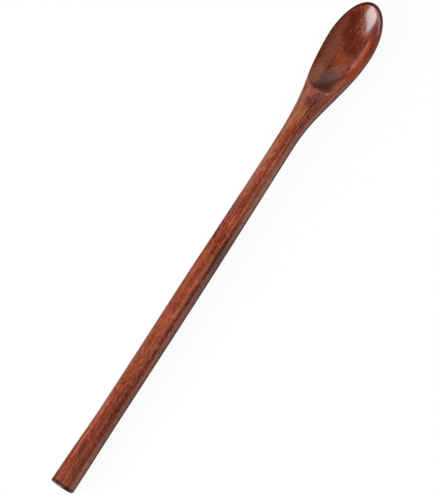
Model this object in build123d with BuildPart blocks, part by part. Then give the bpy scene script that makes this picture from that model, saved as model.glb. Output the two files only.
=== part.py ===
from build123d import *
import os
from math import cos, pi, radians, sin, sqrt

# A long-handled wooden spoon, carved from one stick of wood and lying on its back on a table.
# X runs along the spoon from the butt of the handle to the tip of the bowl, Y runs across it
# and Z points up. The table is Z = 0, and the origin lies on it under the middle of the spoon.
# Sizes are in millimetres. Heights are above the table.

# Lengths along the spoon, most of them back from the tip of the bowl
spoon_length = 350.0
tip_to_neck = 100.0
tip_to_crest = 80.0
tip_to_dip = 66.0
tip_to_hollow = 63.0
tip_to_deepest = 38.0
tip_to_widest = 29.0
flare_length = 60.0
taper_length = 118.0
flat_length = 190.0

# Round stick of the handle
butt_diameter = 15.7
butt_rounding = 1.8
grip_diameter = 14.1
neck_diameter = 12.5
neck_clearance = 4.2

# Planed top: how much is taken off the round stick, and the crest where it turns down to the bowl
planed_at_butt = 2.2
planed_at_shoulder = 1.5
planed_at_neck = 1.5
crest_rise = 0.2

# Bowl: its rim, the waterline where its flanks are widest, and its hollow
bowl_width = 33.2
bowl_depth = 9.9
tip_lift = 2.4
waterline_drop = 0.8
waterline_drop_at_tip = 1.0
rim_land = 0.7
tip_land = 2.0
hollow_depth = 7.8

# Exponents of the S-curves: above 1 they start late, and below 1 they start blunt
swell_exponent = 1.08
dip_exponent = 1.6
rise_exponent = 2.5
blunt_exponent = 0.68

# Where the slices and the points of the rim lie
handle_slice_shares = (0.0, 0.07, 0.15, 0.25, 0.38, 0.52, 0.66, 0.8, 0.91)
neck_side_slice_shares = (0.0, 0.12, 0.24, 0.36, 0.48, 0.6, 0.72, 0.84, 0.93, 1.0)
tip_side_slice_angles = (15, 30, 45, 60, 74)
hollow_slice_angles = (12, 24, 38, 54, 72, 90, 108, 126, 142, 156, 168)
rim_drop_shares = (0.25, 0.5, 0.75, 1.0)
rim_rise_shares = (0.5, 1.0)

# Overruns of the cuts
plane_overrun = 5.0
scoop_overrun = 0.15

# Places along X
butt_x = -spoon_length / 2
tip_x = spoon_length / 2
shoulder_x = butt_x + flat_length
neck_x = tip_x - tip_to_neck
crest_x = tip_x - tip_to_crest
dip_x = tip_x - tip_to_dip
hollow_start_x = tip_x - tip_to_hollow
deepest_x = tip_x - tip_to_deepest
widest_x = tip_x - tip_to_widest
hollow_end_x = tip_x - tip_land
handle_length = spoon_length - tip_to_neck

# Heights at the neck and the tip
flat_height_at_neck = neck_clearance + neck_diameter - planed_at_neck
crest_height = flat_height_at_neck + crest_rise
tip_height = bowl_depth + tip_lift
nose_height = tip_height - waterline_drop_at_tip


def ease(share):
    """S-curve from 0 to 1 that starts and ends level."""
    return (1 - cos(pi * share)) / 2


def between(start, end, share):
    """Value at a share of the way from start to end."""
    return start + (end - start) * share


def handle_radius(x):
    """Radius of the round handle, which flares to the butt and tapers to the neck."""
    flare = ease(max(0, 1 - (x - butt_x) / flare_length))
    taper = ease(max(0, 1 - (neck_x - x) / taper_length))
    return between(between(grip_diameter, butt_diameter, flare), neck_diameter, taper) / 2


def handle_underside(x):
    """Height of the handle's underside, which rests on the table at the butt and lifts off it."""
    return neck_clearance * ((x - butt_x) / handle_length) ** 2


def handle_top(x):
    """Height of the top of the round handle before it is planed."""
    return handle_underside(x) + 2 * handle_radius(x)


def waterline_height(x):
    """Height of the line along which the flanks of the neck and the bowl are widest."""
    low = bowl_depth - waterline_drop
    if x < dip_x:
        share = (x - neck_x) / (dip_x - neck_x)
        return between(neck_clearance + neck_diameter / 2, low, ease(share**dip_exponent))
    return between(low, nose_height, ((x - dip_x) / tip_to_dip) ** rise_exponent)


def belly_height(x):
    """Height of the belly, which rests on the table at the deepest place of the bowl."""
    if x < deepest_x:
        share = (x - neck_x) / (deepest_x - neck_x)
        return between(neck_clearance, 0, ease(share**swell_exponent))
    return between(nose_height, 0, sqrt(1 - ((x - deepest_x) / tip_to_deepest) ** 2))


def rim_height(x):
    """Height of the rim, which drops from the crest of the neck and lifts again to the tip."""
    if x < deepest_x:
        return between(crest_height, bowl_depth, ease((x - crest_x) / (deepest_x - crest_x)))
    return between(bowl_depth, tip_height, ((x - deepest_x) / tip_to_deepest) ** 2)


def oval_slice(x, middle_height, half_width, half_height):
    """Upright oval across the spoon. Its ends meet at the top, which is cut away later."""
    plane = Plane(origin=(x, 0, middle_height), x_dir=(0, 1, 0), z_dir=(1, 0, 0))
    with BuildSketch(plane, mode=Mode.PRIVATE) as oval:
        with BuildLine():
            EllipticalCenterArc((0, 0), half_width, half_height, 90, arc_size=360)
        make_face()
    return oval.sketch


def handle_slices():
    """Round slices of the handle."""
    slices = []
    for share in handle_slice_shares:
        x = between(butt_x, neck_x, share)
        radius = handle_radius(x)
        slices.append(oval_slice(x, handle_underside(x) + radius, radius, radius))
    return slices


def bowl_slices():
    """Slices that swell from the neck to the widest place and close to the tip as a half ellipse."""
    places = []
    for share in neck_side_slice_shares:
        swell = ease(share**swell_exponent)
        places.append((between(neck_x, widest_x, share), between(neck_diameter, bowl_width, swell) / 2))
    for angle in tip_side_slice_angles:
        x = widest_x + tip_to_widest * sin(radians(angle))
        places.append((x, bowl_width / 2 * cos(radians(angle))))
    slices = []
    for x, half_width in places:
        middle = waterline_height(x)
        slices.append(oval_slice(x, middle, half_width, middle - belly_height(x)))
    return slices


def hollow_slices():
    """Slices of the hollow, blunt at the neck and round at the tip, whose middles follow the rim."""
    slices = []
    for angle in hollow_slice_angles:
        at_neck = angle < 90
        reach = widest_x - hollow_start_x if at_neck else hollow_end_x - widest_x
        x = widest_x - reach * cos(radians(angle))
        opening = sin(radians(angle)) ** (blunt_exponent if at_neck else 1)
        half_width = (bowl_width / 2 - rim_land) * opening
        depth = hollow_depth * sin(radians(angle))
        slices.append(oval_slice(x, rim_height(x) + scoop_overrun, half_width, depth))
    return slices


with BuildPart() as spoon:
    # Round stick that swells into the egg-shaped blank of the bowl
    loft([*handle_slices(), *bowl_slices(), Vertex(tip_x, 0, nose_height)])

    # Plane the top: a straight flat along the handle, then a crest and the dished rim
    with BuildSketch(Plane.XZ.offset(-bowl_width)):
        with BuildLine():
            flat = Line(
                (butt_x, butt_diameter - planed_at_butt),
                (shoulder_x, handle_top(shoulder_x) - planed_at_shoulder),
            )
            drop_places = [between(crest_x, deepest_x, share) for share in rim_drop_shares]
            rise_places = [between(deepest_x, tip_x, share) for share in rim_rise_shares]
            rim = Spline(
                flat @ 1,
                (neck_x, flat_height_at_neck),
                (crest_x, crest_height),
                *[(x, rim_height(x)) for x in (*drop_places, *rise_places)],
                tangents=(flat % 1, (tip_to_deepest, 2 * tip_lift)),
            )
            before_butt = flat @ 0 - (flat % 0) * plane_overrun
            past_tip = rim @ 1 + (rim % 1) * plane_overrun
            clear_height = crest_height + plane_overrun
            Polyline(
                flat @ 0,
                before_butt,
                (before_butt.X, clear_height),
                (past_tip.X, clear_height),
                past_tip,
                rim @ 1,
            )
        make_face()
    extrude(amount=2 * bowl_width, mode=Mode.SUBTRACT)

    # Scoop out the hollow
    loft(
        [
            Vertex(hollow_start_x, 0, rim_height(hollow_start_x) + scoop_overrun),
            *hollow_slices(),
            Vertex(hollow_end_x, 0, rim_height(hollow_end_x) + scoop_overrun),
        ],
        mode=Mode.SUBTRACT,
    )

    # Round the edge of the butt
    fillet(spoon.faces().sort_by(Axis.X)[0].edges(), butt_rounding)

spoon.part.label = "spoon"
os.makedirs("parts", exist_ok=True)
export_step(spoon.part, "parts/spoon.step")
print("spoon", spoon.part.bounding_box(), "volume", spoon.part.volume)
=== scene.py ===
"""Long-handled wooden spoon in red-brown lacquered hardwood, lying on its back on a pale floor.

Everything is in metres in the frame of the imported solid: X runs from the butt of the handle to the tip of
the bowl, Y across the spoon and Z up from the floor.
"""

import logging
from dataclasses import dataclass
from enum import Enum
from math import asin, atan2, cos, hypot, pi, radians, sin, sqrt
from typing import NamedTuple

import bmesh
import bpy
from mathutils import Matrix, Vector, noise


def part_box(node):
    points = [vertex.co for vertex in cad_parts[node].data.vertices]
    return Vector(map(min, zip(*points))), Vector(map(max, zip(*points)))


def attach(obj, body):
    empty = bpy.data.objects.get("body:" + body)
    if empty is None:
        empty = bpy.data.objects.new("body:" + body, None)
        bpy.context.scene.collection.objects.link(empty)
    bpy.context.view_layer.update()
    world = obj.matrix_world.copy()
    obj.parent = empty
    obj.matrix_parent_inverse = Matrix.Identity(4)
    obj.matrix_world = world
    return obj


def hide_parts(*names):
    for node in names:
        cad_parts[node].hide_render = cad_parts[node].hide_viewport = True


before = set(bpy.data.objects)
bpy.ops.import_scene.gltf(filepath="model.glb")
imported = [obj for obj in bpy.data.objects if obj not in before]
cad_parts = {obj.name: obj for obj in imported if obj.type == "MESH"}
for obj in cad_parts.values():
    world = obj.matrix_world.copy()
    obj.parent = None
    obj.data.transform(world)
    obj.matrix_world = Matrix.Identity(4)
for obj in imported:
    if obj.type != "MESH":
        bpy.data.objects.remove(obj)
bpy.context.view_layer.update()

log = logging.getLogger("spoon")

Socket = bpy.types.NodeSocket
Value = Socket | float | tuple[float, ...]
Colour = tuple[float, float, float]
Place = tuple[float, float, float]

MM = 0.001
SPOON_NODE = "spoon"
SPOON_LOW, SPOON_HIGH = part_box(SPOON_NODE)
BUTT_X = SPOON_LOW.x
TIP_X = SPOON_HIGH.x
WEAR_AND_HIGHLIGHT_ATTRIBUTE = "edge_wear_and_highlight"
DARK_LINE_ATTRIBUTE = "painted_dark_line"
NOISE_MIDDLE = 0.5
WHITE = (1, 1, 1, 1)


def ease(share: float) -> float:
    """S-curve from 0 to 1 that starts and ends level."""
    return (1 - cos(pi * min(1.0, max(0.0, share)))) / 2


def between(start: float, end: float, share: float) -> float:
    """Value at a share of the way from start to end."""
    return start + (end - start) * share


def soft_min(first: float, second: float, reach: float) -> float:
    """Lower of two heights, rounded over where they are closer together than the reach."""
    overlap = max(reach - abs(first - second), 0) / reach
    return min(first, second) - overlap * overlap * reach / 4


def add_to_scene(name: str, data: bpy.types.ID) -> bpy.types.Object:
    """Puts a mesh, a light or a camera into the scene.

    Args:
        name: The new object's name.
        data: What the object holds.

    Returns:
        The new object.
    """
    added = bpy.data.objects.new(name, data)
    bpy.context.scene.collection.objects.link(added)
    return added


def add_mesh(name: str, mesh: bmesh.types.BMesh) -> bpy.types.Object:
    """Puts a finished mesh into the scene.

    Args:
        name: The name of the mesh and of its object.
        mesh: The faces, which are freed.

    Returns:
        The new object.
    """
    data = bpy.data.meshes.new(name)
    mesh.to_mesh(data)
    mesh.free()
    return add_to_scene(name, data)


class Side(Enum):
    """The two halves of the spoon."""

    LEFT = 1
    RIGHT = -1


@dataclass(frozen=True)
class Handle:
    """Round stick of the handle, planed flat on top.

    The stick flares to the butt and tapers to the neck. It rests on the floor at the butt and lifts off it
    towards the neck.
    """

    neck_x: float = TIP_X - 100 * MM
    flare_length: float = 60 * MM
    taper_length: float = 118 * MM
    flat_length: float = 190 * MM
    butt_diameter: float = 15.7 * MM
    grip_diameter: float = 14.1 * MM
    neck_diameter: float = 12.5 * MM
    neck_clearance: float = 4.2 * MM
    planed_at_butt: float = 2.2 * MM
    planed_at_shoulder: float = 1.5 * MM
    planed_at_neck: float = 1.5 * MM
    crest_rise: float = 0.2 * MM
    crest_length: float = 20 * MM

    @property
    def shoulder_x(self) -> float:
        """Where the straight flat ends."""
        return BUTT_X + self.flat_length

    @property
    def crest_x(self) -> float:
        """Where the flat turns down to the bowl."""
        return self.neck_x + self.crest_length

    @property
    def crest_height(self) -> float:
        """Height of the flat where it turns down to the bowl."""
        return self.neck_clearance + self.neck_diameter - self.planed_at_neck + self.crest_rise

    def radius(self, x: float) -> float:
        """Radius of the stick.

        Args:
            x: Place along the spoon.

        Returns:
            The radius, which grows to the butt and shrinks to the neck.
        """
        flare = ease(1 - (x - BUTT_X) / self.flare_length)
        taper = ease(1 - (self.neck_x - x) / self.taper_length)
        grip = between(self.grip_diameter, self.butt_diameter, flare)
        return between(grip, self.neck_diameter, taper) / 2

    def underside(self, x: float) -> float:
        """Height of the stick's underside."""
        return self.neck_clearance * ((x - BUTT_X) / (self.neck_x - BUTT_X)) ** 2

    def flat_height(self, x: float) -> float:
        """Height of the planed flat: straight to the shoulder, then one smooth curve to the crest.

        Args:
            x: Place along the spoon, from the butt to the crest.

        Returns:
            The height.
        """
        at_butt = self.butt_diameter - self.planed_at_butt
        shoulder_top = self.underside(self.shoulder_x) + 2 * self.radius(self.shoulder_x)
        at_shoulder = shoulder_top - self.planed_at_shoulder
        slope = (at_shoulder - at_butt) / self.flat_length
        if x <= self.shoulder_x:
            return at_butt + slope * (x - BUTT_X)
        run = self.crest_x - self.shoulder_x
        share = (x - self.shoulder_x) / run
        rise = self.crest_height - at_shoulder
        curve = share * share * (3 - 2 * share)
        carried_on = slope * run * share * (1 - share) ** 2
        return at_shoulder + rise * curve + carried_on


@dataclass(frozen=True)
class Bowl:
    """Outside of the bowl: an egg-shaped blank with a dished rim, from the neck to the tip."""

    handle: Handle
    width: float = 33.2 * MM
    depth: float = 9.9 * MM
    tip_lift: float = 2.4 * MM
    widest_x: float = TIP_X - 29 * MM
    deepest_x: float = TIP_X - 38 * MM
    dip_x: float = TIP_X - 66 * MM
    waterline_drop: float = 0.8 * MM
    waterline_drop_at_tip: float = 1.0 * MM
    swell_exponent: float = 1.08
    dip_exponent: float = 1.6
    rise_exponent: float = 2.5

    @property
    def reach(self) -> float:
        """Length of the round end, from the widest place to the tip."""
        return TIP_X - self.widest_x

    @property
    def nose_height(self) -> float:
        """Height of the very tip."""
        return self.depth + self.tip_lift - self.waterline_drop_at_tip

    def swell(self, x: float) -> float:
        """Share of the way from the neck to the widest place, along the S-curve of the flanks."""
        share = (x - self.handle.neck_x) / (self.widest_x - self.handle.neck_x)
        return ease(max(0.0, share) ** self.swell_exponent)

    def half_width(self, x: float) -> float:
        """Half the width in plan.

        Args:
            x: Place along the spoon.

        Returns:
            Half the width, which closes to nothing at the tip.
        """
        if x > self.widest_x:
            return self.width / 2 * sqrt(max(0.0, 1 - ((x - self.widest_x) / self.reach) ** 2))
        return between(self.handle.neck_diameter, self.width, self.swell(x)) / 2

    def waterline(self, x: float) -> float:
        """Height of the line along which the flanks are widest.

        Args:
            x: Place along the spoon.

        Returns:
            The height, which drops from the neck to the dip and rises again to the tip.
        """
        low = self.depth - self.waterline_drop
        if x < self.dip_x:
            neck = self.handle.neck_clearance + self.handle.neck_diameter / 2
            share = (x - self.handle.neck_x) / (self.dip_x - self.handle.neck_x)
            return between(neck, low, ease(max(0.0, share) ** self.dip_exponent))
        share = (x - self.dip_x) / (TIP_X - self.dip_x)
        return between(low, self.nose_height, share**self.rise_exponent)

    def belly(self, x: float) -> float:
        """Height of the belly under the middle.

        Args:
            x: Place along the spoon.

        Returns:
            The height, which is nothing at the deepest place, where the bowl rests on the floor.
        """
        if x < self.deepest_x:
            share = (x - self.handle.neck_x) / (self.deepest_x - self.handle.neck_x)
            return between(self.handle.neck_clearance, 0, ease(max(0.0, share) ** self.swell_exponent))
        share = min(1.0, (x - self.deepest_x) / (TIP_X - self.deepest_x))
        return between(self.nose_height, 0, sqrt(1 - share**2))

    def underside(self, x: float, y: float) -> float:
        """Height of the outside below the waterline, where every slice is half an oval.

        Args:
            x: Place along the spoon.
            y: Place across it.

        Returns:
            The height.
        """
        reach = self.half_width(x)
        dip = sqrt(max(0.0, 1 - (y / reach) ** 2)) if reach > 0 else 0.0
        return self.waterline(x) - (self.waterline(x) - self.belly(x)) * dip

    def rim(self, x: float) -> float:
        """Height of the rim.

        Args:
            x: Place along the spoon.

        Returns:
            The height, which drops from the crest of the neck and lifts again to the tip.
        """
        if x < self.deepest_x:
            crest = self.handle.crest_x
            return between(self.handle.crest_height, self.depth, ease((x - crest) / (self.deepest_x - crest)))
        share = (x - self.deepest_x) / (TIP_X - self.deepest_x)
        return between(self.depth, self.depth + self.tip_lift, share**2)


@dataclass(frozen=True)
class Hollow:
    """Hollow of the bowl, blunt at the neck and round at the tip."""

    bowl: Bowl
    start_x: float = TIP_X - 63 * MM
    tip_land: float = 2.0 * MM
    rim_land: float = 0.45 * MM
    depth: float = 7.8 * MM
    lift: float = 0.15 * MM
    outside_slope: float = 4.8 * MM
    blunt_exponent: float = 0.64
    dish_exponent: float = 0.8

    def openness(self, x: float, y: float) -> float:
        """How far inside the hollow's outline a place is.

        Args:
            x: Place along the spoon.
            y: Place across it.

        Returns:
            1 over the middle of the hollow, 0 on its edge and a negative number outside it.
        """
        widest = self.bowl.widest_x
        across = (y / (self.bowl.width / 2 - self.rim_land)) ** 2
        if x > widest:
            return 1 - ((x - widest) / (TIP_X - self.tip_land - widest)) ** 2 - across
        along = 1 - ((widest - x) / (widest - self.start_x)) ** 2
        if along <= 0:
            return along - across
        return along - across * along ** (1 - self.blunt_exponent)

    def height(self, x: float, y: float) -> float:
        """Height of the hollow's surface.

        Args:
            x: Place along the spoon.
            y: Place across it.

        Returns:
            The height, which climbs away above the rim outside the hollow.
        """
        share = self.openness(x, y)
        brim = self.bowl.rim(x) + self.lift
        if share > 0:
            return brim - self.depth * share**self.dish_exponent
        return brim - self.outside_slope * share


class Zone(Enum):
    """The stretches of the spoon whose slices are laid out in their own way."""

    BUTT_FACE = "end face of the butt"
    BUTT_EDGE = "rounded edge of the butt"
    HANDLE = "handle"
    BOWL = "neck and bowl"
    FAN = "round end of the bowl"


@dataclass(frozen=True)
class Station:
    """One slice of the spoon: its place along X and, at the butt and in the fan, its share of the way."""

    zone: Zone
    x: float
    share: float = 0.0


class OutlinePoint(NamedTuple):
    """A point on the outline of half a slice, with its wear and painted highlight from 0 on a face to 1 on a
    worn edge.
    """

    across: float
    height: float
    wear_and_highlight: float


class SkinPoint(NamedTuple):
    """A point of the skin, with its wear and painted highlight and with its share of painted dark line, both
    from 0 to 1.
    """

    place: Vector
    wear_and_highlight: float
    stain_and_shade: float


@dataclass
class SpoonBody:
    """The spoon's one piece of wood, as a skin of slices from the butt to the tip."""

    handle: Handle
    bowl: Bowl
    hollow: Hollow
    name: str = "spoon_body"

    # Rounding of the ridge between the flat and the flanks, of the rim and of the butt
    ridge_soft_at_butt: float = 2.6 * MM
    ridge_soft: float = 0.7 * MM
    ridge_crisp_x: float = -10 * MM
    ridge_sharpening_length: float = 110 * MM
    rim_soft: float = 0.35 * MM
    rim_sharpening_rate: float = 2.0
    soft_limit_across: float = 0.45
    soft_limit_up: float = 0.7
    hollow_edge_soft: float = 0.35 * MM
    butt_rounding_left: float = 1.3 * MM
    butt_rounding_right: float = 1.9 * MM
    butt_dome: float = 0.3 * MM
    butt_core_radius: float = 1.0 * MM

    # Wear of the near ridge and of the edge of the hollow, which is also a painted highlight
    soft_ridge_wear_and_highlight: float = 0.25
    hollow_wear_and_highlight_reach: float = 2.0
    hollow_wear_and_highlight_lead: float = 1.0 * MM

    # Painted shade in a line on each flank and in the crease of the neck, and a painted dark reflection on
    # the rim's land
    far_shade_strength: float = 0.75
    far_shade_share: float = 0.70
    far_shade_width: float = 0.22
    near_shade_strength: float = 0.9
    near_shade_turn: float = radians(13)
    near_shade_reach: float = radians(24)
    land_dark_line_length: float = 12 * MM
    crease_x: float = 99 * MM
    crease_length: float = 38 * MM
    crease_offset: float = 0.2 * MM
    crease_width: float = 0.8 * MM

    # Shallow waves of the hand finish, which fade out towards an axis inside the spoon
    carving_depth: float = 0.07 * MM
    carving_length: float = 22 * MM
    carving_width: float = 5 * MM
    carving_axis_height: float = 6.5 * MM
    carving_full_radius: float = 5 * MM
    carving_core_radius: float = 0.5 * MM

    # How finely the skin is divided
    handle_step: float = 1.8 * MM
    neck_step: float = 1.0 * MM
    lip_step: float = 0.3 * MM
    lip_lead: float = 1.5 * MM
    lip_length: float = 9 * MM
    bowl_step: float = 0.8 * MM
    fan_steps: int = 44
    cap_steps: int = 6
    belly_columns: int = 26
    flank_columns: int = 6
    ridge_columns: int = 6
    top_columns: int = 44
    weld_distance: float = 0.0005 * MM

    @property
    def top_start(self) -> int:
        """Number of the first point on the flat of a half slice."""
        return self.belly_columns + self.flank_columns + self.ridge_columns

    def stations(self) -> list[Station]:
        """Slices from the middle of the butt to the tip of the bowl.

        Returns:
            The slices, closest together at the blunt start of the hollow.
        """
        edge_end = BUTT_X + self.butt_rounding_right
        lip = self.hollow.start_x - self.lip_lead
        past_lip = self.hollow.start_x + self.lip_length
        widest = self.bowl.widest_x
        found = [Station(Zone.BUTT_FACE, BUTT_X, i / self.cap_steps) for i in range(self.cap_steps)]
        found += [Station(Zone.BUTT_EDGE, BUTT_X, i / self.cap_steps) for i in range(self.cap_steps + 1)]
        stretches = (
            (Zone.HANDLE, edge_end, self.handle.neck_x, self.handle_step),
            (Zone.BOWL, self.handle.neck_x, lip, self.neck_step),
            (Zone.BOWL, lip, past_lip, self.lip_step),
            (Zone.BOWL, past_lip, widest, self.bowl_step),
        )
        for zone, start, end, step in stretches:
            count = round((end - start) / step)
            found += [Station(zone, between(start, end, (i + 1) / count)) for i in range(count)]
        found += [Station(Zone.FAN, widest, (i + 1) / self.fan_steps) for i in range(self.fan_steps)]
        return found

    def build(self) -> bpy.types.Object:
        """Mesh of the whole spoon.

        Returns:
            The spoon's object, smooth shaded, with the wear and painted highlight and the painted dark lines
            of its points as attributes.
        """
        mesh = bmesh.new()
        wear_and_highlight_layer = mesh.verts.layers.float.new(WEAR_AND_HIGHLIGHT_ATTRIBUTE)
        dark_line_layer = mesh.verts.layers.float.new(DARK_LINE_ATTRIBUTE)
        stations = self.stations()
        for side in Side:
            rows = []
            for station in stations:
                row = []
                for point in self.section(station, side):
                    vertex = mesh.verts.new(point.place)
                    vertex[wear_and_highlight_layer] = point.wear_and_highlight
                    vertex[dark_line_layer] = point.stain_and_shade
                    row.append(vertex)
                rows.append(row)
            for row, following in zip(rows, rows[1:]):
                for j in range(len(row) - 1):
                    mesh.faces.new((row[j], row[j + 1], following[j + 1], following[j]))
        bmesh.ops.remove_doubles(mesh, verts=mesh.verts, dist=self.weld_distance)
        bmesh.ops.recalc_face_normals(mesh, faces=mesh.faces)
        body = add_mesh(self.name, mesh)
        body.data.shade_smooth()
        return body

    def section(self, station: Station, side: Side) -> list[SkinPoint]:
        """Half slice, from under the middle round the flank to the top of the middle.

        Args:
            station: The slice.
            side: The half of the spoon.

        Returns:
            The half slice's points.
        """
        if station.zone in (Zone.BOWL, Zone.FAN):
            return self.bowl_section(station, side)
        return self.handle_section(station, side)

    def handle_section(self, station: Station, side: Side) -> list[SkinPoint]:
        """Half slice of the handle.

        Args:
            station: The slice.
            side: The half of the spoon.

        Returns:
            The half slice's points. Only the near ridge is worn and carries a painted highlight; the far one
            gets painted shade instead.
        """
        radius = self.handle.radius(station.x)
        middle = self.handle.underside(station.x) + radius
        blunt = ease((self.ridge_crisp_x - station.x) / self.ridge_sharpening_length)
        soft = between(self.ridge_soft, self.ridge_soft_at_butt, blunt)
        ridge_wear_and_highlight = between(1.0, self.soft_ridge_wear_and_highlight, blunt)
        outline = self.half_outline(radius, radius, middle, self.handle.flat_height(station.x), soft)
        ridge = outline[self.top_start].across
        points = []
        for across, height, wear_and_highlight in outline:
            place = Vector((station.x, side.value * across, height))
            above_middle = height > middle
            # Near side: painted shade in the neck's crease and low on the flank, and the ridge's wear, which
            # is also a painted highlight. Far side: painted shade below the ridge.
            if side is Side.RIGHT:
                crease = self.crease(across - ridge, station.x) if above_middle else 0.0
                stain_and_shade = max(crease, self.near_shade_line(atan2(middle - height, across)))
                wear_and_highlight *= ridge_wear_and_highlight
            else:
                stain_and_shade = self.far_shade_line(across / radius) if above_middle else 0.0
                wear_and_highlight = 0.0
            if station.zone is not Zone.HANDLE:
                place, edge_wear_and_highlight = self.round_butt(station, place, middle)
                wear_and_highlight = max(wear_and_highlight, edge_wear_and_highlight)
            points.append(SkinPoint(self.carve(place), wear_and_highlight, stain_and_shade))
        return points

    def round_butt(self, station: Station, place: Vector, middle: float) -> tuple[Vector, float]:
        """Moves a point of the butt's slice onto its slightly domed end or its rounded edge.

        Args:
            station: The slice, on the end face or on its edge.
            place: The point on the slice before it is rounded.
            middle: Height of the slice's middle.

        Returns:
            The point's new place and its wear.
        """
        arm = Vector((0, place.y, place.z - middle))
        toward_right = (1 - place.y / max(arm.length, self.butt_core_radius)) / 2
        rounding = between(self.butt_rounding_left, self.butt_rounding_right, toward_right)
        face_share = 1 - rounding / max(arm.length, rounding)
        if station.zone is Zone.BUTT_FACE:
            share = face_share * station.share
            x = BUTT_X + self.butt_dome * station.share**2
            wear_and_highlight = 0.0
        else:
            turn = pi / 2 * station.share
            share = between(face_share, 1, sin(turn))
            x = BUTT_X + between(self.butt_dome, rounding, 1 - cos(turn))
            wear_and_highlight = sin(2 * turn)
        return Vector((x, arm.y * share, middle + arm.z * share)), wear_and_highlight

    def bowl_section(self, station: Station, side: Side) -> list[SkinPoint]:
        """Half slice of the neck or the bowl, straight across or fanned out at the tip end.

        Args:
            station: The slice. One of the fan turns from straight across to straight ahead.
            side: The half of the spoon.

        Returns:
            The half slice's points. The far ridge gets painted shade where the near one is worn and carries a
            painted highlight.
        """
        bowl = self.bowl
        fan = pi / 2 * station.share
        rim_x = station.x + bowl.reach * sin(fan)
        rim_y = bowl.half_width(station.x) * cos(fan) if station.share < 1 else 0.0
        middle = bowl.waterline(rim_x)
        width = hypot(rim_x - station.x, rim_y)
        height_below = middle - bowl.belly(station.x)
        flatness = width / height_below
        soft = between(self.ridge_soft, self.rim_soft, ease(self.rim_sharpening_rate * bowl.swell(station.x)))
        outline = self.half_outline(width, height_below, middle, self.top_plane(rim_x), soft)
        ridge = outline[self.top_start].across
        points = []
        for column, (across, height, wear_and_highlight) in enumerate(outline):
            share = across / width
            x = station.x + (rim_x - station.x) * share
            y = rim_y * share
            stain_and_shade = 0.0
            on_belly = column < self.belly_columns
            on_top = column >= self.top_start
            if on_belly:
                height = bowl.underside(x, y)
            elif on_top:
                height, wear_and_highlight, stain_and_shade = self.top_point(x, y, wear_and_highlight)
            # Far side: painted shade below the ridge, where the near ridge has its painted highlight. Near
            # side: painted shade low on the flank and in the neck's crease.
            if side is Side.LEFT:
                if not on_belly and not on_top:
                    stain_and_shade = max(self.far_shade_line(share), wear_and_highlight * self.far_shade_strength)
                wear_and_highlight = 0.0
            else:
                if not on_top:
                    face_down = (bowl.waterline(x) - height) * flatness
                    stain_and_shade = self.near_shade_line(atan2(face_down, across / flatness))
                if not on_belly:
                    stain_and_shade = max(stain_and_shade, self.crease(across - ridge, x))
            points.append(SkinPoint(self.carve(Vector((x, side.value * y, height))), wear_and_highlight, stain_and_shade))
        return points

    def top_point(self, x: float, y: float, wear_and_highlight: float) -> tuple[float, float, float]:
        """Rounds the planed top over into the hollow, whose edge is worn and carries a painted highlight, and
        whose rim's land is darkened as a painted dark reflection.

        Args:
            x: Place along the spoon.
            y: Place across it.
            wear_and_highlight: The point's wear and painted highlight so far.

        Returns:
            The point's height, wear and painted highlight, and painted dark reflection.
        """
        plane = self.top_plane(x)
        hollow = self.hollow.height(x, y)
        height = soft_min(plane, hollow, self.hollow_edge_soft)
        if x <= self.hollow.start_x - self.hollow_wear_and_highlight_lead:
            return height, wear_and_highlight, 0.0
        gap = (hollow - plane) / self.hollow_edge_soft
        edge_wear_and_highlight = max(0.0, 1 - abs(gap) / self.hollow_wear_and_highlight_reach)
        stain_and_shade = ease(1 + gap) * ease((x - self.hollow.start_x) / self.land_dark_line_length)
        return height, max(wear_and_highlight, edge_wear_and_highlight), stain_and_shade

    def crease(self, past_ridge: float, x: float) -> float:
        """Painted shade in the crease beside the near ridge of the neck.

        Args:
            past_ridge: How far out the point is from the inner end of the ridge, negative on the flat.
            x: The point's place along the spoon.

        Returns:
            The share of painted shade.
        """
        along = ease(1 - abs(x - self.crease_x) / self.crease_length)
        return along * ease(1 - abs(past_ridge + self.crease_offset) / self.crease_width)

    def far_shade_line(self, share: float) -> float:
        """Painted shade in a thin line below the far ridge, at a share of the way across."""
        return self.far_shade_strength * ease(1 - abs(share - self.far_shade_share) / self.far_shade_width)

    def near_shade_line(self, turn: float) -> float:
        """Painted shade in a thin line low on the near flank, where its face has turned down by an angle."""
        return self.near_shade_strength * ease(1 - abs(turn - self.near_shade_turn) / self.near_shade_reach)

    def top_plane(self, x: float) -> float:
        """Height of the planed top: the flat of the handle up to the crest, and the dished rim past it."""
        return self.handle.flat_height(x) if x < self.handle.crest_x else self.bowl.rim(x)

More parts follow.
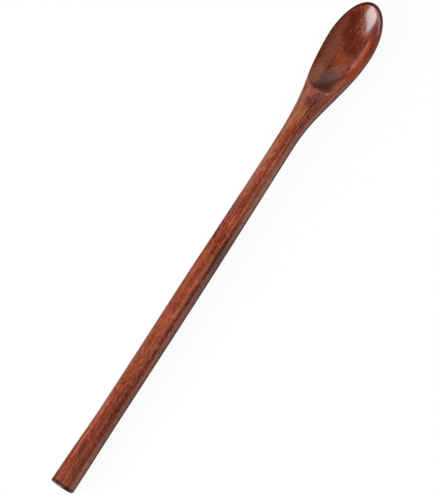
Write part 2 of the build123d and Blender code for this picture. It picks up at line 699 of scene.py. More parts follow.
    def half_outline(
        self, half_width: float, half_height: float, middle: float, flat: float, soft: float
    ) -> list[OutlinePoint]:
        """Outline of half an oval whose top is planed flat, with a rounded ridge.

        Args:
            half_width: Half the oval's width.
            half_height: Half the oval's height.
            middle: Height of the oval's middle.
            flat: Height of the planed top.
            soft: How far the rounding of the ridge reaches along the flank and the top.

        Returns:
            Points from the underside to the middle of the top.
        """
        points = []
        for i in range(self.belly_columns):
            turn = pi / 2 * (1 - i / self.belly_columns)
            points.append(OutlinePoint(half_width * cos(turn), middle - half_height * sin(turn), 0.0))
        ridge_turn = asin(min(1.0, (flat - middle) / half_height))
        ridge = (half_width * cos(ridge_turn), flat)
        soft = min(soft, ridge[0] * self.soft_limit_across, (flat - middle) * self.soft_limit_up)
        length_per_turn = hypot(half_width * sin(ridge_turn), half_height * cos(ridge_turn))
        start_turn = max(0.0, ridge_turn - soft / length_per_turn)
        for i in range(self.flank_columns):
            turn = start_turn * i / self.flank_columns
            points.append(OutlinePoint(half_width * cos(turn), middle + half_height * sin(turn), 0.0))
        start = (half_width * cos(start_turn), middle + half_height * sin(start_turn))
        end = (ridge[0] - soft, flat)
        for i in range(self.ridge_columns):
            share = i / self.ridge_columns
            weights = ((1 - share) ** 2, 2 * share * (1 - share), share**2)
            across = sum(weight * corner[0] for weight, corner in zip(weights, (start, ridge, end)))
            height = sum(weight * corner[1] for weight, corner in zip(weights, (start, ridge, end)))
            points.append(OutlinePoint(across, height, 4 * share * (1 - share)))
        for i in range(self.top_columns):
            points.append(OutlinePoint(end[0] * cos(pi / 2 * i / self.top_columns), flat, 0.0))
        points.append(OutlinePoint(0.0, flat, 0.0))
        return points

    def carve(self, place: Vector) -> Vector:
        """Moves a point by the shallow waves that a knife and sandpaper leave, always into the wood.

        Args:
            place: The point on the true shape.

        Returns:
            The point on the hand-finished shape.
        """
        width = self.carving_width
        flow = Vector((place.x / self.carving_length, place.y / width, place.z / width))
        depth = (1 + noise.noise(flow)) / 2 * self.carving_depth
        arm = Vector((0, place.y, place.z - self.carving_axis_height))
        if arm.length < self.carving_core_radius:
            return place
        return place - arm.normalized() * depth * min(1.0, arm.length / self.carving_full_radius)


@dataclass(frozen=True)
class Grain:
    """Noise: the length of its cells along the wood, their width across it, and how fine and rough it is."""

    length: float
    width: float
    detail: float = 3.0
    roughness: float = 0.5


@dataclass(frozen=True)
class Sway:
    """How lines in the wood wander: the cells in which they do, and how far along each axis."""

    cells: Grain
    reach: Place


@dataclass(frozen=True)
class Fade:
    """Smooth change from one value to another while what steers it goes from low to high."""

    low: float
    high: float
    at_low: float = 0.0
    at_high: float = 1.0


@dataclass
class ShaderSketch:
    """A material under construction, with short ways to add and join its nodes."""

    material: bpy.types.Material

    def __post_init__(self) -> None:
        """Empties the material's node tree."""
        self.material.use_nodes = True
        self.material.node_tree.nodes.clear()

    def add(self, kind: str, settings: dict | None = None, **inputs: Value) -> bpy.types.Node:
        """Adds a node.

        Args:
            kind: The node's type without the prefix that all shader nodes share.
            settings: The node's properties.
            inputs: A value or an output for each named input, with underscores for spaces.

        Returns:
            The new node.
        """
        node = self.material.node_tree.nodes.new("ShaderNode" + kind)
        for name, value in (settings or {}).items():
            setattr(node, name, value)
        for name, value in inputs.items():
            self.put(node.inputs[name.replace("_", " ")], value)
        return node

    def put(self, socket: Socket, value: Value) -> None:
        """Links an output to a socket, or sets the socket's own value.

        Args:
            socket: The input socket.
            value: The output or the value.
        """
        if isinstance(value, Socket):
            self.material.node_tree.links.new(value, socket)
        else:
            socket.default_value = value

    def attribute(self, name: str) -> Socket:
        """Value that the mesh holds at each point."""
        return self.add("Attribute", {"attribute_name": name}).outputs["Fac"]

    def maths(self, operation: str, *values: Value) -> Socket:
        """Adds a maths node.

        Args:
            operation: The node's operation.
            values: Numbers or outputs, as many as the operation takes.

        Returns:
            The node's output.
        """
        node = self.add("Math", {"operation": operation})
        for socket, value in zip(node.inputs, values):
            self.put(socket, value)
        return node.outputs[0]

    def vector_maths(self, operation: str, *values: Value) -> bpy.types.Node:
        """Adds a maths node for vectors.

        Args:
            operation: The node's operation.
            values: Vectors or outputs, as many as the operation takes.

        Returns:
            The node, whose output is a vector or, under the name Value, a number.
        """
        node = self.add("VectorMath", {"operation": operation})
        for socket, value in zip(node.inputs, values):
            self.put(socket, value)
        return node

    def fade(self, steer: Value, fade: Fade) -> Socket:
        """Adds a smooth change from one value to another.

        Args:
            steer: What steers the change.
            fade: The range of the steering value, and the values at its ends.

        Returns:
            The changing value.
        """
        node = self.add("MapRange", {"interpolation_type": "SMOOTHSTEP"})
        ends = {"From Min": fade.low, "From Max": fade.high, "To Min": fade.at_low, "To Max": fade.at_high}
        for name, value in {"Value": steer, **ends}.items():
            self.put(node.inputs[name], value)
        return node.outputs["Result"]

    def mix(self, share: Value, first: Value, second: Value) -> Socket:
        """Adds a mix of two colours.

        Args:
            share: Share of the second colour.
            first: The first colour, as an output or as red, green and blue.
            second: The second colour.

        Returns:
            The mixed colour.
        """
        node = self.add("Mix", {"data_type": "RGBA"})
        for name, value in (("Factor_Float", share), ("A_Color", first), ("B_Color", second)):
            socket = next(socket for socket in node.inputs if socket.identifier == name)
            self.put(socket, (*value, 1) if isinstance(value, tuple) else value)
        return next(socket for socket in node.outputs if socket.identifier == "Result_Color")

    def layer(self, mask: Socket, strength: float, under: Value, over: Value) -> Socket:
        """Colour with another laid over it at some strength, where a mask says."""
        return self.mix(self.maths("MULTIPLY", mask, strength), under, over)

    def ramp(self, value: Value, places: tuple[float, ...], colours: tuple[Colour, ...]) -> Socket:
        """Adds a ramp of colours.

        Args:
            value: What picks the colour.
            places: Where each colour stands on the ramp.
            colours: The colours.

        Returns:
            The picked colour.
        """
        node = self.add("ValToRGB", Fac=value)
        elements = node.color_ramp.elements
        while len(elements) < len(places):
            elements.new(0.5)
        for element, place, colour in zip(elements, places, colours):
            element.position = place
            element.color = (*colour, 1)
        return node.outputs["Color"]

    def stretched(self, coords: Socket, cell: Grain) -> Socket:
        """Coordinates counted in cells that are long along the grain."""
        counts = (1 / cell.length, 1 / cell.width, 1 / cell.width)
        return self.vector_maths("MULTIPLY", coords, counts).outputs[0]

    def noise(self, coords: Socket, grain: Grain, output: str = "Fac") -> Socket:
        """Adds noise.

        Args:
            coords: The coordinates.
            grain: The size of its cells and how rough it is.
            output: Which of the node's outputs is wanted.

        Returns:
            The noise as a number or, from the output Color, as three numbers.
        """
        cells = self.stretched(coords, grain)
        node = self.add("TexNoise", Vector=cells, Scale=1.0, Detail=grain.detail, Roughness=grain.roughness)
        return node.outputs[output]

    def swayed(self, coords: Socket, sway: Sway) -> Socket:
        """Makes coordinates wander off their straight lines.

        Args:
            coords: The coordinates.
            sway: How they wander.

        Returns:
            The wandering coordinates.
        """
        drift = self.noise(coords, sway.cells, "Color")
        centred = self.vector_maths("SUBTRACT", drift, (NOISE_MIDDLE, NOISE_MIDDLE, NOISE_MIDDLE))
        return self.vector_maths("MULTIPLY_ADD", centred.outputs[0], sway.reach, coords).outputs[0]


class StainAndShade(Enum):
    """Tones that the stain takes in patches, and that painted shade and painted light take."""

    SMOKE = (0.060, 0.021, 0.023)
    SOOT = (0.028, 0.009, 0.008)
    EMBER = (0.085, 0.008, 0.004)
    RUST = (0.26, 0.036, 0.012)
    ORANGE = (0.34, 0.075, 0.022)
    SALMON = (0.40, 0.138, 0.080)
    HONEY = (0.36, 0.125, 0.045)
    UMBER = (0.31, 0.086, 0.046)
    ROSE = (0.56, 0.21, 0.14)


@dataclass(frozen=True)
class Mark:
    """A patch in the wood: an oval of its own tone, whose edge breaks up along the grain. Most are natural
    patches; a few are painted shade and a few painted light.

    Its place and its size, from the middle to the edge along each axis, are in millimetres.
    """

    stain_and_shade: StainAndShade
    place: Place
    size: Place
    strength: float
    speckle: float = 0.0


HOLLOW_START_MARKS = (
    # Painted shade on the slope where the hollow starts, in the two smoke patches
    Mark(StainAndShade.SMOKE, (119.5, 0.2, 8.2), (11.0, 8.5, 8.0), 0.62),
    Mark(StainAndShade.SMOKE, (117.0, 4.0, 10.0), (7.0, 6.5, 5.0), 0.45),
    Mark(StainAndShade.SALMON, (121.0, 8.8, 10.0), (13.0, 6.0, 6.0), 0.90, 0.4),
    Mark(StainAndShade.SALMON, (133.0, 10.5, 6.5), (10.0, 4.5, 5.0), 0.58),
    Mark(StainAndShade.ROSE, (119.0, 8.9, 9.5), (12.0, 5.2, 6.0), 0.42, 0.5),
    # Painted light on the near wall where the hollow starts
    Mark(StainAndShade.ROSE, (121.5, -8.4, 8.8), (8.0, 4.0, 5.0), 0.32),
    Mark(StainAndShade.ORANGE, (135.5, 3.2, 3.5), (7.5, 5.0, 4.0), 0.65),
)
HOLLOW_MARKS = (
    Mark(StainAndShade.UMBER, (144.0, 12.5, 7.5), (18.0, 5.5, 6.0), 0.92, 0.4),
    Mark(StainAndShade.EMBER, (153.0, 8.0, 5.0), (9.0, 5.0, 5.0), 0.60),
    Mark(StainAndShade.EMBER, (148.5, 2.5, 3.0), (11.0, 7.0, 4.0), 0.72),
    Mark(StainAndShade.EMBER, (162.0, 8.0, 8.5), (10.0, 5.0, 5.0), 0.72),
    Mark(StainAndShade.RUST, (142.0, -11.0, 6.0), (24.0, 4.5, 5.0), 0.55),
    Mark(StainAndShade.EMBER, (151.0, -12.5, 8.0), (13.0, 4.0, 5.0), 0.72),
    Mark(StainAndShade.EMBER, (148.0, -3.0, 3.0), (12.0, 4.5, 4.0), 0.45),
    # Painted shade on the tip's inner wall, which faces the brightest light
    Mark(StainAndShade.EMBER, (164.0, -5.0, 8.0), (12.0, 12.0, 7.0), 0.76),
)
NECK_MARKS = (
    Mark(StainAndShade.SALMON, (94.0, 3.5, 14.8), (22.0, 5.0, 4.0), 0.84, 0.35),
    Mark(StainAndShade.SALMON, (72.0, 3.0, 14.6), (22.0, 3.5, 3.0), 0.65, 0.35),
    Mark(StainAndShade.HONEY, (95.0, 0.2, 15.0), (7.0, 4.0, 3.0), 0.60, 0.3),
    Mark(StainAndShade.SALMON, (105.0, 4.6, 14.4), (9.0, 3.6, 3.0), 0.68, 0.3),
    Mark(StainAndShade.SMOKE, (104.0, -2.2, 14.8), (7.5, 6.0, 3.5), 0.84, 0.9),
    Mark(StainAndShade.SOOT, (110.0, -5.5, 13.5), (7.0, 2.5, 3.0), 0.35, 0.5),
    Mark(StainAndShade.SALMON, (58.0, -5.2, 11.0), (52.0, 3.4, 5.0), 0.52, 0.3),
    Mark(StainAndShade.SALMON, (38.0, -5.0, 11.8), (20.0, 3.2, 4.0), 0.50, 0.3),
    Mark(StainAndShade.SALMON, (101.0, -7.5, 11.0), (20.0, 4.0, 5.0), 0.42, 0.3),
)
HANDLE_MARKS = (
    # Painted sheen along the far side of the handle's flat
    Mark(StainAndShade.SALMON, (-60.0, 3.4, 13.6), (110.0, 3.2, 3.2), 0.32, 0.4),
    Mark(StainAndShade.SALMON, (52.0, 2.4, 14.2), (42.0, 3.2, 2.5), 0.80, 0.45),
    Mark(StainAndShade.SALMON, (36.0, 3.4, 13.8), (22.0, 2.6, 2.5), 0.50, 0.3),
    Mark(StainAndShade.EMBER, (28.5, 1.5, 14.0), (9.0, 3.2, 3.0), 0.45, 0.4),
    Mark(StainAndShade.RUST, (78.0, -1.5, 14.8), (16.0, 2.0, 2.0), 0.65, 0.5),
    Mark(StainAndShade.RUST, (-42.0, 0.8, 13.8), (24.0, 4.5, 3.0), 0.50, 0.4),
    Mark(StainAndShade.EMBER, (38.0, -2.6, 14.4), (22.0, 1.7, 2.0), 0.50, 0.4),
    Mark(StainAndShade.SOOT, (-45.0, 0.2, 13.7), (4.5, 3.6, 3.0), 0.55, 0.8),
    Mark(StainAndShade.SMOKE, (-12.0, -6.2, 9.5), (34.0, 3.6, 7.0), 0.40),
    Mark(StainAndShade.SOOT, (-8.0, -5.4, 10.8), (13.0, 2.4, 5.0), 0.40, 0.3),
    Mark(StainAndShade.EMBER, (-148.0, -0.8, 13.3), (8.0, 3.0, 3.0), 0.60, 0.5),
    Mark(StainAndShade.EMBER, (-148.0, -3.2, 13.0), (24.0, 3.0, 3.0), 0.50, 0.5),
    # Painted shade towards the butt
    Mark(StainAndShade.EMBER, (-160.0, -2.0, 13.0), (22.0, 7.0, 5.0), 0.48, 0.4),
    Mark(StainAndShade.ORANGE, (-104.0, 0.5, 13.5), (22.0, 3.5, 3.0), 0.35, 0.4),
    Mark(StainAndShade.ORANGE, (-62.0, 1.0, 13.6), (14.0, 3.5, 3.0), 0.35, 0.4),
    Mark(StainAndShade.ORANGE, (-13.0, 0.6, 13.9), (9.0, 3.2, 3.0), 0.45, 0.4),
)


@dataclass(frozen=True)
class LacqueredWood:
    """Fine-grained hardwood stained red-brown, with open pores under a thin coat of lacquer."""

    name: str = "lacquered_wood"
    marks: tuple[Mark, ...] = HOLLOW_START_MARKS + HOLLOW_MARKS + NECK_MARKS + HANDLE_MARKS

    # Colours of the grain from dark to light, where each stands on the scale of tone, and the layers that
    # make up the tone
    deep: Colour = (0.075, 0.011, 0.005)
    brown: Colour = (0.150, 0.024, 0.012)
    red: Colour = (0.240, 0.040, 0.016)
    orange: Colour = (0.350, 0.068, 0.028)
    tan: Colour = (0.46, 0.138, 0.068)
    tone_places: tuple[float, ...] = (0.14, 0.34, 0.52, 0.70, 0.92)
    middle_tone: float = 0.57
    streaks: Grain = Grain(42 * MM, 1.2 * MM, 3.0, 0.55)
    flecks: Grain = Grain(2.6 * MM, 0.48 * MM, 2.0, 0.55)
    fibres: Grain = Grain(4 * MM, 0.25 * MM, 2.0, 0.55)
    blotches: Grain = Grain(30 * MM, 9 * MM, 2.0, 0.55)
    streak_gain: float = 1.10
    fleck_gain: float = 1.35
    fibre_gain: float = 0.8
    blotch_gain: float = 0.65
    flow_sway: Sway = Sway(Grain(60 * MM, 14 * MM, 2.0), (0.0, 3 * MM, 3 * MM))

    # Stretch along X over which the handle's grain gives way to the bowl's, which has more contrast and
    # fewer open pores
    bowl_grain_stretch: tuple[float, float] = (100 * MM, 118 * MM)
    bowl_contrast: float = 1.15
    bowl_pores: float = 0.2

    # Edges of the marks, which break up into speckles
    mark_sway: Sway = Sway(Grain(6 * MM, 2.2 * MM, 2.0), (7 * MM, 3 * MM, 3 * MM))
    mark_edge: tuple[float, float] = (0.35, 1.15)
    speckles: Grain = Grain(2.0 * MM, 0.9 * MM)
    speckle_edge: tuple[float, float] = (0.4, 0.6)

    # Open pores: dashes that are larger where they crowd
    pore: Colour = (0.040, 0.006, 0.003)
    pore_strength: float = 0.6
    pore_cells: Grain = Grain(4.2 * MM, 0.85 * MM)
    pore_crowds: Grain = Grain(24 * MM, 3 * MM, 2.0)
    pore_size: Fade = Fade(0.35, 0.65, 0.16, 0.46)
    pore_edge: Fade = Fade(-0.04, 0.12)

    # Flanks and underside, darkened as painted shade: all that doesn't face the lit side
    low_shade: Colour = (0.055, 0.011, 0.007)
    low_shade_strength: float = 0.66
    lit_side: Place = (0.0, -0.5, 1.0)
    low_shade_cells: Grain = Grain(20 * MM, 4 * MM, 2.0)
    low_shade_raggedness: float = 0.3
    low_shade_edge: Fade = Fade(0.05, 0.85, 1.0, 0.0)

    # Worn edges, partly a painted highlight, and painted dark lines of shade and reflection
    worn_and_highlight: Colour = (0.50, 0.23, 0.15)
    worn_and_highlight_strength: float = 0.5
    worn_and_highlight_breaks: Grain = Grain(9 * MM, 2 * MM)
    worn_and_highlight_share: Fade = Fade(0.35, 0.65, 0.3, 1.0)
    dark_line: Colour = (0.030, 0.006, 0.004)
    dark_line_strength: float = 0.9

    # End grain of the butt, with arcs of the growth rings round a pith outside the stick
    end_grain: Colour = (0.022, 0.008, 0.006)
    end_ring: Colour = (0.115, 0.030, 0.016)
    pith_place: tuple[float, float] = (11 * MM, -14 * MM)
    ring_spacing: float = 1.5 * MM
    ring_sway: Sway = Sway(Grain(4 * MM, 4 * MM, 2.0), (0.0, MM, MM))
    ring_light: Fade = Fade(0.35, 0.95)
    grime: Grain = Grain(3 * MM, 2.5 * MM)
    grime_light: Fade = Fade(0.4, 0.6, 0.1, 0.9)
    end_blotches: Grain = Grain(3 * MM, 1.6 * MM)
    end_raggedness: float = 3.2 * MM
    end_edge: Fade = Fade(BUTT_X + 3.6 * MM, BUTT_X + 5.4 * MM, 0.92, 0.0)

    # Surface of the wood, and the lacquer on it
    dull_patches: Grain = Grain(30 * MM, 9 * MM)
    dullness: Fade = Fade(0.3, 0.7, 0.40, 0.55)
    raised_fibres: Grain = Grain(4 * MM, 0.25 * MM)
    pore_depth: float = 0.8
    bump_strength: float = 0.2
    bump_height: float = 0.06 * MM
    ior: float = 1.45
    specular_level: float = 0.06
    coat_weight: float = 1.0
    coat_weight_below: float = 0.15
    coat_loss_in_dark_line: float = 0.85
    coat_loss_at_end: float = 0.75
    coat_roughness: float = 0.21
    coat_ior: float = 1.5

    def material(self) -> bpy.types.Material:
        """Builds the node material.

        Returns:
            The material.
        """
        sketch = ShaderSketch(bpy.data.materials.new(self.name))
        coords = sketch.add("TexCoord").outputs["Object"]
        flow = sketch.swayed(coords, self.flow_sway)
        pores = self.pores(sketch, flow)
        low = self.low_shade_mask(sketch, coords)
        dark_line = sketch.attribute(DARK_LINE_ATTRIBUTE)
        end = self.end_mask(sketch, coords)

        tones = (self.deep, self.brown, self.red, self.orange, self.tan)
        colour = sketch.ramp(self.tone(sketch, flow), self.tone_places, tones)
        colour = self.marked(sketch, coords, colour)
        colour = sketch.layer(pores, self.pore_strength, colour, self.pore)
        # Painted shade on the flanks and underside
        colour = sketch.layer(low, self.low_shade_strength, colour, self.low_shade)
        # Worn edges, lightened also as a painted highlight on the near ridge and the hollow's edge
        colour = sketch.layer(self.wear_and_highlight(sketch, coords), self.worn_and_highlight_strength, colour, self.worn_and_highlight)
        # Painted shade in lines on the flanks and in the neck's crease, and a painted dark reflection on the
        # rim's land
        colour = sketch.layer(dark_line, self.dark_line_strength, colour, self.dark_line)
        colour = sketch.mix(end, colour, self.end_colour(sketch, coords, pores))

        roughness = sketch.fade(sketch.noise(coords, self.dull_patches), self.dullness)
        relief = sketch.maths("MULTIPLY_ADD", pores, -self.pore_depth, sketch.noise(flow, self.raised_fibres))
        bump = sketch.add("Bump", Height=relief, Strength=self.bump_strength, Distance=self.bump_height)
        wood = sketch.add("BsdfPrincipled", Base_Color=colour, Roughness=roughness, Normal=bump.outputs[0])
        wood.inputs["IOR"].default_value = self.ior
        wood.inputs["Specular IOR Level"].default_value = self.specular_level
        wood.inputs["Coat Roughness"].default_value = self.coat_roughness
        wood.inputs["Coat IOR"].default_value = self.coat_ior
        sketch.put(wood.inputs["Coat Weight"], self.coat(sketch, low, dark_line, end))
        sketch.add("OutputMaterial", Surface=wood.outputs[0])
        return sketch.material

    def tone(self, sketch: ShaderSketch, flow: Socket) -> Socket:
        """How light the wood is, from streaks, flecks, fibres and broad blotches.

        Args:
            sketch: The material under construction.
            flow: Coordinates that follow the grain.

        Returns:
            The tone, about 0 where the wood is darkest and 1 where it is lightest.
        """
        layers = (
            (self.streaks, self.streak_gain),
            (self.flecks, self.fleck_gain),
            (self.fibres, self.fibre_gain),
            (self.blotches, self.blotch_gain),
        )
        tone = 0.0
        for grain, gain in layers:
            centred = sketch.maths("SUBTRACT", sketch.noise(flow, grain), NOISE_MIDDLE)
            tone = sketch.maths("MULTIPLY_ADD", centred, gain, tone)
        contrast = self.toward_bowl(sketch, flow, self.bowl_contrast)
        return sketch.maths("MULTIPLY_ADD", tone, contrast, self.middle_tone)

    def toward_bowl(self, sketch: ShaderSketch, flow: Socket, in_bowl: float) -> Socket:
        """Value that is 1 along the handle and another in the bowl."""
        along = sketch.add("SeparateXYZ", Vector=flow).outputs["X"]
        return sketch.fade(along, Fade(*self.bowl_grain_stretch, 1.0, in_bowl))

    def marked(self, sketch: ShaderSketch, coords: Socket, colour: Socket) -> Socket:
        """Lays the marks over the wood's colour: natural patches, and a few of painted shade and painted
        light.

        Args:
            sketch: The material under construction.
            coords: Coordinates of the object.
            colour: The wood's colour.

        Returns:
            The colour with its marks.
        """
        ragged = sketch.swayed(coords, self.mark_sway)
        speckles = sketch.noise(coords, self.speckles)
        for mark in self.marks:
            arm = sketch.vector_maths("SUBTRACT", ragged, tuple(MM * part for part in mark.place))
            scaled = sketch.vector_maths("DIVIDE", arm.outputs[0], tuple(MM * part for part in mark.size))
            distance = sketch.vector_maths("LENGTH", scaled.outputs[0]).outputs["Value"]
            patch = sketch.fade(distance, Fade(*self.mark_edge, mark.strength, 0.0))
            if mark.speckle:
                broken = sketch.fade(speckles, Fade(*self.speckle_edge, 1 - mark.speckle, 1.0))
                patch = sketch.maths("MULTIPLY", patch, broken)
            colour = sketch.mix(patch, colour, mark.stain_and_shade.value)
        return colour

    def pores(self, sketch: ShaderSketch, flow: Socket) -> Socket:
        """Open pores: short dark dashes along the grain that crowd together in places.

        Args:
            sketch: The material under construction.
            flow: Coordinates that follow the grain.

        Returns:
            Mask of the pores.
        """
        stretched = sketch.stretched(flow, self.pore_cells)
        cells = sketch.add("TexVoronoi", Vector=stretched, Scale=1.0, Randomness=1.0)
        size = sketch.fade(sketch.noise(flow, self.pore_crowds), self.pore_size)
        edge = sketch.maths("SUBTRACT", size, cells.outputs["Distance"])
        open_share = self.toward_bowl(sketch, flow, self.bowl_pores)
        return sketch.maths("MULTIPLY", sketch.fade(edge, self.pore_edge), open_share)

    def wear_and_highlight(self, sketch: ShaderSketch, coords: Socket) -> Socket:
        """Mask of the edges where the stain is rubbed thin and a painted highlight lies, broken up along the
        grain.
        """
        breaks = sketch.fade(sketch.noise(coords, self.worn_and_highlight_breaks), self.worn_and_highlight_share)
        return sketch.maths("MULTIPLY", sketch.attribute(WEAR_AND_HIGHLIGHT_ATTRIBUTE), breaks)

    def low_shade_mask(self, sketch: ShaderSketch, coords: Socket) -> Socket:
        """Flanks and underside, darkened as painted shade.

        Args:
            sketch: The material under construction.
            coords: Coordinates of the object.

        Returns:
            Mask of the low faces, with a ragged edge.
        """
        normal = sketch.add("NewGeometry").outputs["Normal"]
        facing = sketch.vector_maths("DOT_PRODUCT", normal, self.lit_side).outputs["Value"]
        ragged = sketch.noise(coords, self.low_shade_cells)
        steer = sketch.maths("MULTIPLY_ADD", ragged, self.low_shade_raggedness, facing)
        return sketch.fade(steer, self.low_shade_edge)

    def end_colour(self, sketch: ShaderSketch, coords: Socket, pores: Socket) -> Socket:
        """Colour of the end grain, with the arcs of the growth rings.

        Args:
            sketch: The material under construction.
            coords: Coordinates of the object.
            pores: Mask of the pores.

        Returns:
            The colour.
        """
        place = sketch.add("SeparateXYZ", Vector=sketch.swayed(coords, self.ring_sway)).outputs
        arms = [sketch.maths("SUBTRACT", place[axis], pith) for axis, pith in zip("YZ", self.pith_place)]
        squares = [sketch.maths("MULTIPLY", arm, arm) for arm in arms]
        distance = sketch.maths("SQRT", sketch.maths("ADD", *squares))
        turn = sketch.maths("FRACT", sketch.maths("DIVIDE", distance, self.ring_spacing))
        clean = sketch.fade(sketch.noise(coords, self.grime), self.grime_light)
        share = sketch.maths("MULTIPLY", sketch.fade(turn, self.ring_light), clean)
        return sketch.mix(pores, sketch.mix(share, self.end_grain, self.end_ring), self.pore)

    def end_mask(self, sketch: ShaderSketch, coords: Socket) -> Socket:
        """Dark end grain on the end face of the butt and on its edge.

        Args:
            sketch: The material under construction.
            coords: Coordinates of the object.

        Returns:
            Mask of the end grain, with a ragged edge.
        """
        place = sketch.add("SeparateXYZ", Vector=coords).outputs["X"]
        ragged = sketch.noise(coords, self.end_blotches)
        steer = sketch.maths("MULTIPLY_ADD", ragged, self.end_raggedness, place)
        return sketch.fade(steer, self.end_edge)

    def coat(self, sketch: ShaderSketch, low: Socket, dark_line: Socket, end: Socket) -> Socket:
        """Weight of the lacquer, which is thinner on low faces, over the painted dark lines and on end grain.

        Args:
            sketch: The material under construction.
            low: Mask of the low faces.
            dark_line: Mask of the painted dark lines.
            end: Mask of the end grain.

        Returns:
            The weight.
        """
        coat = sketch.fade(low, Fade(0.0, 1.0, self.coat_weight, self.coat_weight_below))
        for mask, loss in ((dark_line, self.coat_loss_in_dark_line), (end, self.coat_loss_at_end)):
            coat = sketch.maths("MULTIPLY", coat, sketch.maths("MULTIPLY_ADD", mask, -loss, 1.0))
        return coat


@dataclass(frozen=True)
class PaleFloor:
    """Matt white floor that keeps a faint shadow, and glows to the camera and, more faintly, in gloss."""

    name: str = "pale_floor"
    colour: Colour = (0.9, 0.9, 0.9)
    glow_share: float = 0.94
    glow_share_in_gloss: float = 0.3

    def material(self) -> bpy.types.Material:
        """Builds the node material.

        Returns:
            The material.
        """
        sketch = ShaderSketch(bpy.data.materials.new(self.name))
        rays = sketch.add("LightPath").outputs
        seen = sketch.maths("MAXIMUM", rays["Is Camera Ray"], rays["Is Transmission Ray"])
        seen = sketch.maths("MULTIPLY", seen, self.glow_share)
        in_gloss = sketch.maths("MULTIPLY", rays["Is Glossy Ray"], self.glow_share_in_gloss)
        paint = sketch.add("BsdfDiffuse", Color=(*self.colour, 1))
        glow = sketch.add("Emission", Color=WHITE, Strength=1.0)
        both = sketch.add("MixShader", Fac=sketch.maths("MAXIMUM", seen, in_gloss))
        sketch.put(both.inputs[1], paint.outputs[0])
        sketch.put(both.inputs[2], glow.outputs[0])
        sketch.add("OutputMaterial", Surface=both.outputs[0])
        return sketch.material


@dataclass(frozen=True)
class SoftBox:
    """A rectangular studio light."""

    name: str
    direction: Place
    distance: float
    width: float
    height: float
    power: float
    shows_in_gloss: bool = True

    def build(self, aim: Vector) -> bpy.types.Object:
        """Places the light so that it faces the spoon.

        Args:
            aim: The place that it faces.

        Returns:
            The light's object.
        """
        lamp = bpy.data.lights.new(self.name, "AREA")
        lamp.shape = "RECTANGLE"
        lamp.size = self.width
        lamp.size_y = self.height
        lamp.energy = self.power
        direction = Vector(self.direction).normalized()
        light = add_to_scene(self.name, lamp)
        light.visible_glossy = self.shows_in_gloss
        light.location = aim + direction * self.distance
        light.rotation_euler = direction.to_track_quat("Z", "Y").to_euler()
        return light


WINDOW_BOX = SoftBox("window_box", (-0.68, 0.57, 0.45), distance=2.4, width=1.70, height=1.70, power=100.0)
BACK_BOX = SoftBox("back_box", (0.20, 0.88, 0.41), distance=1.2, width=0.45, height=0.28, power=0.5)
TIP_BOX = SoftBox("tip_box", (0.64, 0.42, 0.60), distance=1.2, width=0.70, height=0.60, power=1.3)
FILL_BOX = SoftBox(
    "fill_box", (0.15, -0.6, 0.78), distance=1.6, width=1.20, height=1.20, power=8.0, shows_in_gloss=False
)


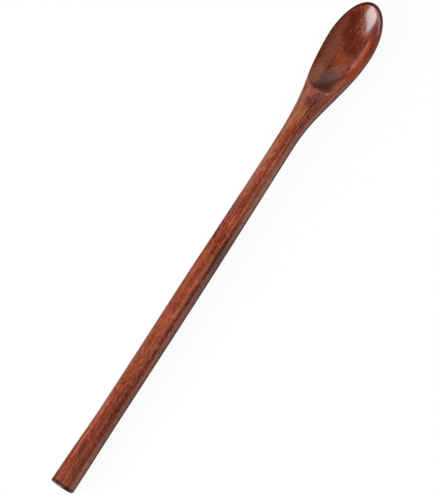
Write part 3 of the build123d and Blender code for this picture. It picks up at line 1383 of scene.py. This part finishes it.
@dataclass(frozen=True)
class Studio:
    """White floor, soft boxes and an even grey surround."""

    floor_size: float = 20.0
    floor_cells: int = 8
    surround: float = 0.20
    boxes: tuple[SoftBox, ...] = (WINDOW_BOX, BACK_BOX, TIP_BOX, FILL_BOX)

    def build_floor(self) -> bpy.types.Object:
        """Flat floor under the spoon.

        Returns:
            The floor's object.
        """
        mesh = bmesh.new()
        cells = self.floor_cells
        bmesh.ops.create_grid(mesh, x_segments=cells, y_segments=cells, size=self.floor_size / 2)
        floor = add_mesh("floor", mesh)
        floor.data.materials.append(PaleFloor().material())
        return floor

    def build_surround(self) -> bpy.types.World:
        """Even light from all round, which is kept out of the gloss.

        Returns:
            The scene's new world.
        """
        world = bpy.data.worlds.new("surround")
        world.use_nodes = True
        tree = world.node_tree
        tree.nodes.clear()
        background = tree.nodes.new("ShaderNodeBackground")
        background.inputs["Color"].default_value = WHITE
        background.inputs["Strength"].default_value = self.surround
        output = tree.nodes.new("ShaderNodeOutputWorld")
        tree.links.new(background.outputs[0], output.inputs["Surface"])
        bpy.context.scene.world = world
        world.cycles_visibility.glossy = False
        return world

    def build_lights(self) -> list[bpy.types.Object]:
        """The soft boxes."""
        return [box.build(Vector((0, 0, 0))) for box in self.boxes]


@dataclass(frozen=True)
class ProductCamera:
    """Long lens that looks steeply down across the spoon, rolled so that the spoon runs up to the right."""

    picture_height: float = 495.0
    metres_per_pixel: float = 0.60753 * MM
    elevation: float = radians(62)
    roll: float = radians(56.757)
    distance: float = 2.5
    sensor_in_millimetres: float = 36.0
    aim: Place = (-0.95 * MM, 0.87 * MM, 7.5 * MM)

    def build(self) -> bpy.types.Object:
        """Makes the camera and gives it to the scene.

        Returns:
            The camera's object.
        """
        along = Vector((1, 0, 0))
        back = Vector((0, -cos(self.elevation), sin(self.elevation)))
        down = along.cross(back)
        right = along * cos(self.roll) + down * sin(self.roll)
        up = along * sin(self.roll) - down * cos(self.roll)
        lens = bpy.data.cameras.new("camera")
        lens.sensor_fit = "VERTICAL"
        lens.sensor_height = self.sensor_in_millimetres
        lens.lens = self.sensor_in_millimetres * self.distance / (self.picture_height * self.metres_per_pixel)
        camera = add_to_scene("camera", lens)
        turn = Matrix((right, up, back)).transposed().to_4x4()
        camera.matrix_world = Matrix.Translation(Vector(self.aim) + back * self.distance) @ turn
        bpy.context.scene.camera = camera
        return camera


def main() -> None:
    """Builds the spoon, its finish, the floor, the light and the camera."""
    handle = Handle()
    bowl = Bowl(handle)
    hollow = Hollow(bowl)
    body = SpoonBody(handle, bowl, hollow).build()
    body.data.materials.append(LacqueredWood().material())
    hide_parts(SPOON_NODE)
    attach(body, "root")
    log.info("%s: %d faces", body.name, len(body.data.polygons))

    studio = Studio()
    log.info("floor: %s", studio.build_floor().name)
    log.info("surround: %s", studio.build_surround().name)
    log.info("lights: %s", ", ".join(light.name for light in studio.build_lights()))
    log.info("camera: %s", ProductCamera().build().name)
    bpy.context.scene.view_settings.view_transform = "Standard"


if __name__ == "__main__":
    logging.basicConfig(level=logging.INFO, format="%(name)s %(message)s")
    main()
